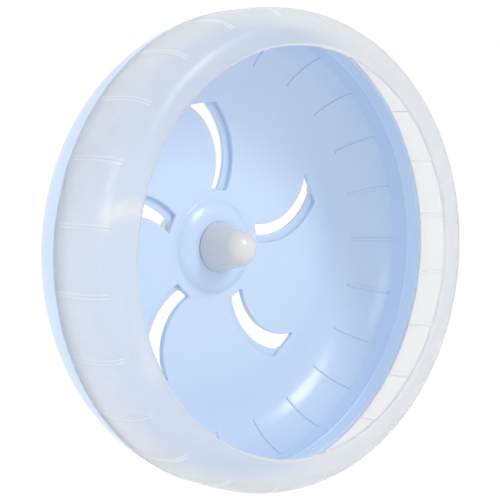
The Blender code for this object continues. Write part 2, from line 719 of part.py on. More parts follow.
def build_axle_bolt(material):
    """Build the hexagon-headed bolt that everything is strung on."""
    start = (HEAD_FRONT + HEAD_REAR) / 2
    shank = [
        (0.0, start),
        (AXLE_RADIUS, start),
        (AXLE_RADIUS, AXLE_END - AXLE_TIP_CHAMFER),
        (AXLE_RADIUS - AXLE_TIP_CHAMFER, AXLE_END),
        (0.0, AXLE_END),
    ]
    bolt = turned("axle_bolt", shank, SMALL_STEPS, material)
    bm = bmesh.new()
    extruded(bm, hexagon(HEAD_FLATS), HEAD_HEIGHT, along_axle(HEAD_FRONT))
    boolean(bolt, object_from(bm, "bolt_head", None), "UNION")


def build_ring_piece(name, outer, inner, front, rear, steps, material):
    """Build a plain ring such as a washer, a bush or a pad."""
    profile = [(outer, front), (outer, rear), (inner, rear), (inner, front)]
    return turned(name, profile, steps, material)


def build_mount_flange(material):
    """Build the flange that meets the cage wall: a thin rim round a deeper middle."""
    rim_front = FLANGE_REAR - FLANGE_EDGE
    well = PAD_RADIUS + SEAT_GAP
    profile = [
        (AXLE_HOLE_RADIUS, FLANGE_FRONT),
        (FLANGE_FACE_RADIUS, FLANGE_FRONT),
        (FLANGE_RADIUS - SEAM_BREAK, rim_front),
        (FLANGE_RADIUS, rim_front + SEAM_BREAK),
        (FLANGE_RADIUS, FLANGE_REAR),
        (well, FLANGE_REAR),
        (well, WELL_FLOOR),
        (AXLE_HOLE_RADIUS, WELL_FLOOR),
    ]
    flange = turned("mount_flange", profile, HUB_STEPS, material)
    bm = bmesh.new()
    pocket = WELL_FLOOR - JAM_NUT_THICK
    extruded(bm, hexagon(NUT_FLATS + 2 * SEAT_GAP), JAM_NUT_THICK + CUT_OVERRUN,
             along_axle(pocket))
    boolean(flange, object_from(bm, "nut_pocket", None), "DIFFERENCE")


def build_jam_nut(material):
    """Build the thin nut that locks the flange on the bolt, flush in its pocket."""
    rear = WELL_FLOOR
    front = WELL_FLOOR - JAM_NUT_THICK + SEAT_GAP
    bm = bmesh.new()
    extruded(bm, hexagon(NUT_FLATS), rear - front, along_axle(front))
    nut = object_from(bm, "jam_nut", material)
    bore = build_ring_bore("jam_nut_bore", AXLE_HOLE_RADIUS, front, rear)
    boolean(nut, bore, "DIFFERENCE")


def build_ring_bore(name, radius, front, rear):
    """Return a cylinder along the axle that cuts right through a piece."""
    bm = bmesh.new()
    outline = arc((0.0, 0.0), radius, 0.0, 2 * math.pi, SMALL_STEPS)[:-1]
    extruded(bm, outline, rear - front + 2 * CUT_OVERRUN, along_axle(front - CUT_OVERRUN))
    return object_from(bm, name, None)


def build_pressure_disc(material):
    """Build the disc behind the cage wall: a cup for its pad and a coned back."""
    well = PAD_RADIUS + SEAT_GAP
    profile = [
        (AXLE_HOLE_RADIUS, DISC_WELL_FLOOR),
        (well, DISC_WELL_FLOOR),
        (well, PRESS_FRONT),
        (DISC_RADIUS, PRESS_FRONT),
        (DISC_RADIUS, DISC_WELL_FLOOR),
        (DISC_BACK_RADIUS, PRESS_REAR),
        (AXLE_HOLE_RADIUS, PRESS_REAR),
    ]
    turned("pressure_disc", profile, HUB_STEPS, material)


def build_wing_nut(material):
    """Build the wing nut: a coned body with a rounded wing on each side."""
    body = [
        (AXLE_HOLE_RADIUS, NUT_FRONT),
        (NUT_RADIUS, NUT_FRONT),
        (NUT_RADIUS, NUT_FRONT + WING_FOOT),
        (NUT_TOP_RADIUS, NUT_REAR),
        (AXLE_HOLE_RADIUS, NUT_REAR),
    ]
    nut = turned("wing_nut", body, SMALL_STEPS, material)
    bm = bmesh.new()
    for side in (-1, 1):
        outline = wing_outline()
        place = Matrix.Translation((0.0, 0.0, -WING_THICK / 2))
        turn = about_axle(0.0 if side > 0 else math.pi)
        extruded(bm, outline, WING_THICK, turn @ place)
    boolean(nut, object_from(bm, "nut_wings", None), "UNION")


def wing_outline():
    """Return one wing in (radius, y): low at the body, rounded at its tip."""
    root = (AXLE_HOLE_RADIUS + NUT_TOP_RADIUS) / 2
    low = NUT_FRONT + WING_FOOT
    top = NUT_FRONT + WING_RISE
    corner = (WING_REACH - WING_CORNER, top - WING_CORNER)
    return [
        (root, low),
        (NUT_RADIUS, low),
        (WING_REACH, low + WING_CORNER),
        *arc(corner, WING_CORNER, 0.0, math.pi / 2 + math.pi / 4, 6),
        (root, NUT_REAR - WING_FOOT),
    ]


def main():
    """Build every piece."""
    clear_scene()
    blue = plastic("pale_blue_plastic", (0.50, 0.66, 0.87), 0.25)
    milky = plastic("milky_plastic", (0.80, 0.85, 0.90), 0.3, 0.55)
    pale = plastic("pale_grey_plastic", (0.66, 0.68, 0.68), 0.3)
    rubber = plastic("grey_rubber", (0.12, 0.12, 0.12), 0.8)
    cage_plastic = plastic("cage_plastic", (0.75, 0.70, 0.55), 0.5)
    steel = principled("bearing_steel", (0.62, 0.62, 0.64), 0.2, 1.0)
    zinc = principled("zinc_plated_steel", (0.60, 0.61, 0.62), 0.35, 1.0)
    build_rear_shell(blue)
    build_front_ring(milky)
    build_hub_cap(pale)
    build_bearing(steel, zinc, cage_plastic)
    build_circlip(zinc)
    build_axle_bolt(zinc)
    build_ring_piece("axle_washer", WASHER_RADIUS, AXLE_HOLE_RADIUS, WASHER_FRONT,
                     WASHER_REAR, SMALL_STEPS, zinc)
    build_ring_piece("spacer_bush", BUSH_RADIUS, AXLE_HOLE_RADIUS, BUSH_FRONT,
                     BUSH_REAR, SMALL_STEPS, zinc)
    build_mount_flange(pale)
    build_jam_nut(zinc)
    build_ring_piece("flange_pad", PAD_RADIUS, PAD_HOLE_RADIUS, PAD_FRONT, 0.0,
                     HUB_STEPS, rubber)
    build_ring_piece("disc_pad", PAD_RADIUS, PAD_HOLE_RADIUS, REAR_PAD_FRONT,
                     REAR_PAD_REAR, HUB_STEPS, rubber)
    build_pressure_disc(pale)
    build_wing_nut(pale)


if __name__ == "__main__":
    main()
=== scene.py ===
"""Looks of a small pet's exercise wheel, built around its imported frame.

The wheel is a light-blue dished shell with five pinwheel slots, a frosted front ring
snapped to its rim, and a domed cap over the axle. A clamp behind it grips a cage wall.
Lengths are written in millimetres and drawn in metres; the axle lies along Y, the open
front faces -Y, and a heading is an angle from +X, counter-clockwise seen from the front.
"""
import logging
import math
from collections.abc import Callable, Iterable
from dataclasses import dataclass
from enum import Enum
from typing import Any

import bmesh
import bpy
from mathutils import Matrix, Vector


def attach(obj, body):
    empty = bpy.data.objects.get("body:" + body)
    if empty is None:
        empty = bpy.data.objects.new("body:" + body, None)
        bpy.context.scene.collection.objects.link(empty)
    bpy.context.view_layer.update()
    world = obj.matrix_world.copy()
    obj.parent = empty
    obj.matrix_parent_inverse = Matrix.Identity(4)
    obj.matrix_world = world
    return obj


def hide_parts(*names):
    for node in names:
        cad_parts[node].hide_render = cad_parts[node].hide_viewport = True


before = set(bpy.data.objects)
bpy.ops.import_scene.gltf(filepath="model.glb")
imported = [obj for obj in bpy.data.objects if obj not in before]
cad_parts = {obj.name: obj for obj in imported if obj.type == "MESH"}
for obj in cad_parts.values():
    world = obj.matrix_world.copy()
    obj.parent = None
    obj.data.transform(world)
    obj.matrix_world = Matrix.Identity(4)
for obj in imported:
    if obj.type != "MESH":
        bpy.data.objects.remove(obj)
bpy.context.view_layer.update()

MM = 0.001
TAU = 2 * math.pi
Point = tuple[float, float]
Triple = tuple[float, float, float]
log = logging.getLogger("wheel")

# What the two shells share, in millimetres and degrees
SEAM = -37.0
RIB_FACTORS = (2, 2, 2, 3)      # their product is the number of ribs
RIB_COUNT = math.prod(RIB_FACTORS)
RING_RIB_PHASE = 7.1


class Body(Enum):
    """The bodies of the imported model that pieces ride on."""

    MOUNT = "mount"
    WHEEL = "wheel"
    BALLS = "ball_set"
    CLAMP = "rear_clamp"
    NUT = "wing_nut_body"


class Part(Enum):
    """What a selection is made of."""

    VERTEX = "VERT"
    EDGE = "EDGE"
    FACE = "FACE"


# Drawing in the (radius, y) plane, in millimetres


def arc(centre: Point, radius: float, start: float, stop: float, count: int) -> list[Point]:
    """Draw points on an arc, with both ends.

    Args:
        centre: The arc's centre.
        radius: Its radius.
        start: The first angle in degrees, from the first axis.
        stop: The last angle in degrees.
        count: How many steps lie between them.

    Returns:
        The points in order.
    """
    turns = [math.radians(start + (stop - start) * k / count) for k in range(count + 1)]
    return [(centre[0] + radius * math.cos(a), centre[1] + radius * math.sin(a)) for a in turns]


def eased(start: Point, stop: Point, count: int) -> list[Point]:
    """Draw an S-curve that leaves and arrives level.

    Args:
        start: The first point, which is left out of the result.
        stop: The last point.
        count: How many points to draw.

    Returns:
        The points after the start.
    """
    points = []
    for k in range(1, count + 1):
        share = k / count
        lift = (1 - math.cos(math.pi * share)) / 2
        points.append((start[0] + (stop[0] - start[0]) * share, start[1] + (stop[1] - start[1]) * lift))
    return points


def softened(corners: Iterable[tuple[float, ...]], steps: int = 3) -> list[Point]:
    """Round the corners of a closed outline.

    Args:
        corners: Points as (radius, y) or (radius, y, rounding).
        steps: How many steps each rounding has.

    Returns:
        The outline with an arc at each corner that has a rounding.
    """
    listed = list(corners)
    drawn: list[Point] = []
    for k, corner in enumerate(listed):
        here = Vector(corner[:2])
        rounding = corner[2] if len(corner) > 2 else 0.0
        if not rounding:
            drawn.append((here.x, here.y))
            continue
        back = (Vector(listed[k - 1][:2]) - here).normalized()
        ahead = (Vector(listed[(k + 1) % len(listed)][:2]) - here).normalized()
        half = back.angle(ahead) / 2
        first, last = here + back * rounding / math.tan(half), here + ahead * rounding / math.tan(half)
        centre = here + (back + ahead).normalized() * rounding / math.sin(half)
        start, sweep = first - centre, (first - centre).angle_signed(last - centre)
        for j in range(steps + 1):
            turn = Matrix.Rotation(-sweep * j / steps, 2)
            spot = centre + turn @ start
            drawn.append((spot.x, spot.y))
    return drawn


def hexagon(flats: float) -> list[Point]:
    """Draw a hexagon from its width across the flats."""
    corner = flats / 2 / math.cos(math.pi / 6)
    return [(corner * math.cos(math.pi / 3 * k), corner * math.sin(math.pi / 3 * k)) for k in range(6)]


def bead(root: float, tip: float) -> list[Triple]:
    """Draw the snap joint's bead or groove, from the seam forwards."""
    return [(root, SEAM - 1.9, 0.1), (tip, SEAM - 2.4, 0.2), (root, SEAM - 2.9, 0.1)]


def polar(spot: Vector) -> tuple[float, float, float]:
    """Return a point's radius, y and heading, in millimetres and degrees."""
    return (math.hypot(spot.x, spot.z) / MM, spot.y / MM, math.degrees(math.atan2(spot.z, spot.x)))


class Bench:
    """Modelling by hand on one object at a time, in edit mode."""

    @staticmethod
    def rest() -> None:
        """Leave edit mode and deselect everything."""
        if bpy.context.mode != "OBJECT":
            bpy.ops.object.mode_set(mode="OBJECT")
        bpy.ops.object.select_all(action="DESELECT")

    @classmethod
    def only(cls, item: bpy.types.Object) -> None:
        """Make one object the only one selected, out of edit mode."""
        cls.rest()
        item.select_set(True)
        bpy.context.view_layer.objects.active = item

    @classmethod
    def take(cls, item: bpy.types.Object) -> None:
        """Enter edit mode on one object, with all of it selected."""
        cls.only(item)
        bpy.ops.object.mode_set(mode="EDIT")
        bpy.ops.mesh.select_mode(type="VERT")
        bpy.ops.mesh.select_all(action="SELECT")

    @classmethod
    def pencil(cls, name: str, start: Vector) -> bpy.types.Object:
        """Start a new object as one vertex, from a plane whose corners are merged.

        Args:
            name: The object's name.
            start: Where the vertex goes, in millimetres.

        Returns:
            The object, in edit mode with its vertex selected.
        """
        cls.rest()
        bpy.ops.mesh.primitive_plane_add(size=MM, location=(0, 0, 0))
        item = bpy.context.object
        item.name = item.data.name = name
        cls.take(item)
        bpy.ops.mesh.merge(type="CENTER")
        bpy.ops.transform.translate(value=start * MM)
        return item

    @classmethod
    def draw(cls, name: str, points: list[Vector]) -> bpy.types.Object:
        """Draw a closed line point by point, each vertex extruded from the one before.

        Args:
            name: The object's name.
            points: The line's points, in millimetres.

        Returns:
            The object, in edit mode with all of it selected.
        """
        item = cls.pencil(name, points[0])
        for here, there in zip(points, points[1:] + points[:1]):
            bpy.ops.mesh.extrude_vertices_move(TRANSFORM_OT_translate={"value": (there - here) * MM})
        cls.merge()
        return item

    @staticmethod
    def merge(distance: float = 0.0005) -> None:
        """Select everything and merge the vertices within a distance, in millimetres."""
        bpy.ops.mesh.select_all(action="SELECT")
        bpy.ops.mesh.remove_doubles(threshold=distance * MM)

    @staticmethod
    def outward() -> None:
        """Turn every face outwards; a solid's volume tells whether they are."""
        bpy.ops.mesh.select_all(action="SELECT")
        bpy.ops.mesh.normals_make_consistent(inside=False)
        if bmesh.from_edit_mesh(bpy.context.object.data).calc_volume(signed=True) < 0:
            bpy.ops.mesh.flip_normals()

    @staticmethod
    def spin(heading: float, steps: int) -> None:
        """Sweep the selection about the axle, counter-clockwise as seen from the front.

        Args:
            heading: How far, in degrees.
            steps: In how many steps.
        """
        bpy.ops.mesh.spin(steps=steps, angle=math.radians(heading), center=(0, 0, 0), axis=(0, 1, 0))

    @staticmethod
    def pick(part: Part, test: Callable[[Any], bool]) -> int:
        """Select only the parts of the mesh that pass a test.

        Args:
            part: What to select.
            test: Takes one vertex, edge or face of the mesh.

        Returns:
            How many were selected.
        """
        bpy.ops.mesh.select_mode(type=part.value)
        bpy.ops.mesh.select_all(action="DESELECT")
        mesh = bmesh.from_edit_mesh(bpy.context.object.data)
        pool = {Part.VERTEX: mesh.verts, Part.EDGE: mesh.edges, Part.FACE: mesh.faces}[part]
        found = [one for one in pool if test(one)]
        for one in found:
            one.select_set(True)
        bmesh.update_edit_mesh(bpy.context.object.data)
        return len(found)

    @staticmethod
    def copies(count: int, pitch: float) -> None:
        """Repeat the whole mesh about the axle.

        Args:
            count: How often it is there in the end.
            pitch: How far each copy is turned on, in radians.
        """
        bpy.ops.mesh.select_mode(type="VERT")
        bpy.ops.mesh.select_all(action="SELECT")
        for _ in range(count - 1):
            bpy.ops.mesh.duplicate()
            bpy.ops.transform.rotate(value=pitch, orient_axis="Y", orient_type="GLOBAL",
                                     center_override=(0, 0, 0))

    @classmethod
    def repeat(cls) -> None:
        """Repeat one rib's sector all round by doubling up: each factor multiplies what is there."""
        pitch = TAU / RIB_COUNT
        for factor in RIB_FACTORS:
            cls.copies(factor, pitch)
            pitch *= factor
        cls.merge(0.002)

    @classmethod
    def prism(cls, name: str, outline: list[Point], front: float, rear: float) -> bpy.types.Object:
        """Draw an outline seen from the front and extrude it along the axle.

        Args:
            name: The object's name.
            outline: Points as (x, z).
            front: The plane that it is drawn on.
            rear: The plane that it is extruded to.

        Returns:
            The closed solid, in edit mode.
        """
        item = cls.draw(name, [Vector((x, front, z)) for x, z in outline])
        bpy.ops.mesh.edge_face_add()
        bpy.ops.mesh.extrude_region_move(TRANSFORM_OT_translate={"value": (0, (rear - front) * MM, 0)})
        cls.outward()
        return item

    @classmethod
    def modify(cls, item: bpy.types.Object, kind: str, **settings: Any) -> None:
        """Add a modifier with its settings and apply it.

        Args:
            item: The object.
            kind: The modifier's type.
            **settings: Its settings.
        """
        cls.only(item)
        step = item.modifiers.new(kind.lower(), kind)
        for name, value in settings.items():
            setattr(step, name, value)
        bpy.ops.object.modifier_apply(modifier=step.name)

    @classmethod
    def combine(cls, item: bpy.types.Object, tool: bpy.types.Object, operation: str) -> None:
        """Join a tool to an object or cut with it, and remove the tool.

        Args:
            item: The object that is kept.
            tool: The closed solid that works on it.
            operation: UNION, DIFFERENCE or INTERSECT.
        """
        cls.modify(item, "BOOLEAN", object=tool, operation=operation, solver="EXACT")
        bpy.data.objects.remove(tool, do_unlink=True)

    @classmethod
    def finish(cls, item: bpy.types.Object, sharp: float = 32.0, weighted: bool = True) -> None:
        """Shade a piece smooth up to an angle, with its flats kept flat.

        Args:
            item: The object.
            sharp: The angle in degrees past which an edge stays sharp.
            weighted: Whether large faces lead the normals.
        """
        cls.only(item)
        bpy.ops.object.shade_smooth_by_angle(angle=math.radians(sharp))
        if weighted:
            cls.modify(item, "WEIGHTED_NORMAL", keep_sharp=True, weight=60)

    @classmethod
    def turned(cls, name: str, profile: list[Point], steps: int) -> bpy.types.Object:
        """Turn a closed profile about the axle.

        Args:
            name: The object's name.
            profile: Points as (radius, y).
            steps: Steps in the full turn.

        Returns:
            The closed solid, in edit mode.
        """
        item = cls.draw(name, [Vector((radius, y, 0)) for radius, y in profile])
        cls.spin(360.0, steps)
        cls.merge()
        cls.outward()
        return item


# Shading


class Wire:
    """A node's output in an expression; arithmetic on it adds Math nodes."""

    def __init__(self, board: "Board", socket: bpy.types.NodeSocket) -> None:
        """Wrap one output socket.

        Args:
            board: The node tree that it belongs to.
            socket: The output.
        """
        self.board = board
        self.socket = socket

    def apply(self, operation: str, other: Any = 0.0) -> "Wire":
        """Add one Math node that works on this wire and another wire or number."""
        return self.board.node("ShaderNodeMath", {"operation": operation}, {0: self, 1: other})[0]

    def __add__(self, other: Any) -> "Wire":
        """Add."""
        return self.apply("ADD", other)

    def __sub__(self, other: Any) -> "Wire":
        """Subtract."""
        return self.apply("SUBTRACT", other)

    def __mul__(self, other: Any) -> "Wire":
        """Multiply."""
        return self.apply("MULTIPLY", other)


class Outputs:
    """The outputs of one new node, by name or number."""

    def __init__(self, board: "Board", made: bpy.types.Node) -> None:
        """Keep the node and its board."""
        self.board = board
        self.made = made

    def __getitem__(self, key: str | int) -> Wire:
        """Return one output as a wire."""
        return Wire(self.board, self.made.outputs[key])


class Board:
    """The node tree of one material or of the world."""

    def __init__(self, tree: bpy.types.NodeTree) -> None:
        """Clear the tree.

        Args:
            tree: The node tree to fill.
        """
        self.tree = tree
        tree.nodes.clear()

    def node(self, kind: str, settings: dict[str, Any] | None = None,
             sockets: dict[str | int, Any] | None = None) -> Outputs:
        """Add one node.

        Args:
            kind: The node's type.
            settings: Its own settings, set before its sockets.
            sockets: Values or wires for its inputs, by name or number.

        Returns:
            The node's outputs.
        """
        made = self.tree.nodes.new(kind)
        for name, value in (settings or {}).items():
            setattr(made, name, value)
        for name, value in (sockets or {}).items():
            if isinstance(value, Wire):
                self.tree.links.new(value.socket, made.inputs[name])
            else:
                made.inputs[name].default_value = value
        return Outputs(self, made)

    def noise(self, scale: float, detail: float, stretch: Triple = (1, 1, 1)) -> Wire:
        """Return noise on the piece's own coordinates.

        Args:
            scale: Its scale, per metre.
            detail: How many octaves it has.
            stretch: How much finer it is along X, Y and Z.

        Returns:
            A value round one half.
        """
        place = self.node("ShaderNodeTexCoord")["Object"]
        mapped = self.node("ShaderNodeMapping", sockets={"Vector": place, "Scale": stretch})[0]
        wave = {"Vector": mapped, "Scale": scale, "Detail": detail}
        return self.node("ShaderNodeTexNoise", sockets=wave)[0]

    def blend(self, low: Triple, high: Triple, share: Wire) -> Wire:
        """Mix two colours by a wire."""
        ends = {6: (*low, 1.0), 7: (*high, 1.0)}
        return self.node("ShaderNodeMix", {"data_type": "RGBA"}, {0: share, **ends})[2]

    def bump(self, height: Wire, depth: float) -> Wire:
        """Return a normal bent by a height, whose full swing is a depth in millimetres."""
        return self.node("ShaderNodeBump", sockets={"Height": height, "Distance": depth * MM})[0]

    def fade(self, value: Wire, start: float, stop: float) -> Wire:
        """Return one up to the start, falling to nought at the stop."""
        reach = {"Value": value, "From Min": start, "From Max": stop, "To Min": 1.0, "To Max": 0.0}
        return self.node("ShaderNodeMapRange", sockets=reach)[0]

    def mix(self, share: Wire | float, first: Wire, second: Wire) -> Wire:
        """Mix two shaders."""
        return self.node("ShaderNodeMixShader", sockets={0: share, 1: first, 2: second})[0]

    def plain(self, kind: str, colour: Triple, **sockets: float) -> Wire:
        """Return a one-node shader in a plain colour."""
        return self.node(kind, sockets={"Color": (*colour, 1.0), **sockets})[0]

    def output(self, shader: Wire, kind: str = "ShaderNodeOutputMaterial") -> None:
        """Send a shader to the output."""
        self.node(kind, sockets={"Surface": shader})


@dataclass(frozen=True)
class Finish:
    """A procedural finish; each kind says how its surface varies."""

    name: str

    def material(self) -> bpy.types.Material:
        """Return this finish's material, made the first time that it is asked for."""
        known = bpy.data.materials.get(self.name)
        if known:
            return known
        made = bpy.data.materials.new(self.name)
        made.use_nodes = True
        board = Board(made.node_tree)
        board.output(self.surface(board))
        return made

    def surface(self, board: Board) -> Wire:
        """Build the shader; each finish has its own."""
        raise NotImplementedError


def toned(colour: Triple, share: float) -> Triple:
    """Return a colour times a number, within range."""
    return tuple(min(c * share, 1.0) for c in colour)


@dataclass(frozen=True)
class MouldedPlastic(Finish):
    """Glossy moulded plastic: faint flow clouds and a fine grain."""

    colour: Triple = (0.5, 0.5, 0.5)
    clouds: float = 0.03
    roughness: float = 0.25
    grain: float = 0.0012
    coat: float = 0.14

    def surface(self, board: Board) -> Wire:
        """Build a plastic whose colour drifts a little over the piece."""
        flow = board.noise(9.0, 1.0, (1.0, 1.6, 1.0))
        low, high = (toned(self.colour, 1 + swing) for swing in (-self.clouds, self.clouds))
        return board.node("ShaderNodeBsdfPrincipled", sockets={
            "Base Color": board.blend(low, high, flow),
            "Roughness": self.roughness,
            "Normal": board.bump(board.noise(900.0, 1.0), self.grain),
            "Coat Weight": self.coat,
            "Coat Roughness": 0.16,
            "IOR": 1.5,
        })[0]


@dataclass(frozen=True)
class FrostedPlastic(Finish):
    """Milky plastic: it sends cool light back and lets blurred, warmer light through.

    The sizes say where the painted shadow lines of the ring's ribs go: how far to each side of a rib's
    middle, in degrees, and round which plane and how far along the axle, in millimetres.
    """

    face: Triple = (0.90, 0.94, 1.0)
    inside: Triple = (1.0, 0.985, 0.96)
    milk: float = 0.15
    glow: float = 0.2
    roughness: float = 0.25
    rib_side: float = 0.4
    rib_middle: float = -51.2
    rib_reach: float = 11.4
    # how much milkier the painted shadow lines along the ribs make the wall
    rib_shadow_milk: float = 0.1

    def ribs(self, board: Board) -> Wire:
        """Return a mask for painted rib shadow lines: one along both sides of each running rib and nought
        elsewhere.
        """
        place = board.node("ShaderNodeSeparateXYZ", sockets={0: board.node("ShaderNodeTexCoord")["Object"]})
        heading = place["Z"].apply("ARCTAN2", place["X"]) - math.radians(RING_RIB_PHASE)
        aside = heading.apply("PINGPONG", math.pi / RIB_COUNT) - math.radians(self.rib_side)
        off = place["Y"] - self.rib_middle * MM
        across = board.fade(aside.apply("ABSOLUTE"), math.radians(0.08), math.radians(0.32))
        along = board.fade(off.apply("ABSOLUTE"), (self.rib_reach - 0.6) * MM, self.rib_reach * MM)
        return across * along

    def surface(self, board: Board) -> Wire:
        """Build a frosted wall from rough transmission, a milky face, painted shadow lines along the ribs and
        a glow.
        """
        flow = board.noise(14.0, 3.0, (1.0, 2.0, 1.0))
        frost = board.noise(300.0, 4.0)
        clear = board.node("ShaderNodeBsdfPrincipled", sockets={
            "Base Color": board.blend(toned(self.inside, 0.985), self.inside, flow),
            "Roughness": frost * 0.06 + (self.roughness - 0.03),
            "Normal": board.bump(board.noise(900.0, 1.0), 0.001),
            "Transmission Weight": 1.0,
            "IOR": 1.35,
            "Coat Weight": 0.07,
            "Coat Roughness": 0.15,
        })[0]
        # the milky share rises along both sides of each rib: painted shadow lines of the ribs seen through
        # the wall
        milk = flow * 0.06 + (self.milk - 0.03) + self.ribs(board) * self.rib_shadow_milk
        milky = board.mix(milk, clear, board.plain("ShaderNodeBsdfDiffuse", self.face))
        return board.mix(self.glow, milky, board.plain("ShaderNodeBsdfTranslucent", self.inside))


@dataclass(frozen=True)
class PlatedSteel(Finish):
    """Zinc-plated steel: cloudy grey with rubbed patches."""

    colour: Triple = (0.62, 0.63, 0.64)
    roughness: float = 0.38

    def surface(self, board: Board) -> Wire:
        """Build a metal whose plating clouds over."""
        cloud = board.noise(220.0, 4.0)
        return board.node("ShaderNodeBsdfPrincipled", sockets={
            "Base Color": board.blend(toned(self.colour, 0.82), self.colour, cloud),
            "Metallic": 1.0,
            "Roughness": cloud * 0.16 + (self.roughness - 0.08),
            "Normal": board.bump(board.noise(3000.0, 2.0), 0.003),
        })[0]


@dataclass(frozen=True)
class GroundSteel(Finish):
    """Ground bearing steel, with fine marks that run round the axle."""

    colour: Triple = (0.63, 0.63, 0.65)
    roughness: float = 0.18

    def surface(self, board: Board) -> Wire:
        """Build a bright metal with grinding marks across its width."""
        marks = board.noise(500.0, 3.0, (0.3, 9.0, 0.3))
        return board.node("ShaderNodeBsdfPrincipled", sockets={
            "Base Color": board.blend(toned(self.colour, 0.94), self.colour, marks),
            "Metallic": 1.0,
            "Roughness": marks * 0.14 + (self.roughness - 0.07),
            "Normal": board.bump(marks, 0.002),
        })[0]


@dataclass(frozen=True)
class GripRubber(Finish):
    """Matt grey rubber with a fine tooth and dusty patches."""

    colour: Triple = (0.10, 0.10, 0.105)

    def surface(self, board: Board) -> Wire:
        """Build a matt rubber with paler dusty patches."""
        dust = board.noise(160.0, 5.0)
        pale = tuple(c * 1.5 + 0.01 for c in self.colour)
        return board.node("ShaderNodeBsdfPrincipled", sockets={
            "Base Color": board.blend(self.colour, pale, dust),
            "Roughness": dust * 0.15 + 0.68,
            "Normal": board.bump(board.noise(2200.0, 3.0), 0.02),
        })[0]


WHITE = (1.0, 1.0, 1.0)
BLUE = MouldedPlastic("blue_moulded_plastic", (0.555, 0.69, 0.895), clouds=0.012, roughness=0.245)
PALE = MouldedPlastic("pale_grey_plastic", (0.68, 0.69, 0.685), clouds=0.015, roughness=0.22, coat=0.3)
CLAMP_PLASTIC = MouldedPlastic("clamp_plastic", (0.72, 0.73, 0.73), clouds=0.02, roughness=0.36, coat=0.1)
NYLON = MouldedPlastic("cage_nylon", (0.72, 0.67, 0.52), clouds=0.05, roughness=0.42, coat=0.0)
MILKY = FrostedPlastic("milky_frosted_plastic")
ZINC = PlatedSteel("zinc_plated_steel")
STEEL = GroundSteel("ground_bearing_steel")
RUBBER = GripRubber("grip_rubber")


def fit(item: bpy.types.Object, finish: Finish, body: Body, node: str) -> None:
    """Give a finished piece its material, its body and the node that it stands for.

    Args:
        item: The piece.
        finish: Its finish.
        body: The body that it rides on.
        node: The CAD node that it replaces.
    """
    item.data.materials.clear()
    item.data.materials.append(finish.material())
    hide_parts(node)
    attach(item, body.value)
    log.info("%s: %d faces", item.name, len(item.data.polygons))


# Sub-assemblies


@dataclass(frozen=True)
class RibBank:
    """Running ribs, evenly spaced round a shell."""

    phase: float = 0.0
    width: float = 1.1
    height: float = 0.45
    rounding: float = 0.22
    plain_steps: int = 8

    def sector(self, name: str, profile: list[Point], mean_radius: float,
               carries: Callable[[float, float], bool]) -> bpy.types.Object:
        """Turn one rib's share of a shell, raise its rib and repeat it all round.

        Args:
            name: The object's name.
            profile: The shell's closed profile.
            mean_radius: Where the rib has its width.
            carries: Tells from a face's radius and y whether the rib stands on it.

        Returns:
            The whole shell, in edit mode.
        """
        half_pitch = 180.0 / RIB_COUNT
        half_rib = math.degrees(self.width / 2 / mean_radius)
        start = math.radians(self.phase - half_pitch)
        item = Bench.draw(name, [Vector((r * math.cos(start), y, r * math.sin(start))) for r, y in profile])
        Bench.spin(half_pitch - half_rib, self.plain_steps)
        Bench.spin(2 * half_rib, 2)
        Bench.spin(half_pitch - half_rib, self.plain_steps)
        Bench.merge()
        Bench.outward()
        mesh = bmesh.from_edit_mesh(item.data)
        widest = max(mesh.faces, key=lambda face: polar(face.calc_center_median())[0])
        middle = widest.calc_center_median()
        if widest.normal.dot(Vector((middle.x, 0.0, middle.z))) < 0:
            bpy.ops.mesh.flip_normals()

        def on_rib(face: Any) -> bool:
            """Tell whether a face is in the rib's strip on the running side."""
            radius, y, heading = polar(face.calc_center_median())
            return abs(heading - self.phase) < half_rib and carries(radius, y)

        found = Bench.pick(Part.FACE, on_rib)
        log.info("%s: %d faces under a rib", name, found)
        bpy.ops.mesh.extrude_region_shrink_fatten(TRANSFORM_OT_shrink_fatten={"value": self.height * MM})
        bpy.ops.mesh.region_to_loop()
        bpy.ops.mesh.bevel(offset=self.rounding * MM, segments=2, affect="EDGES", clamp_overlap=False)
        Bench.repeat()
        Bench.outward()
        return item


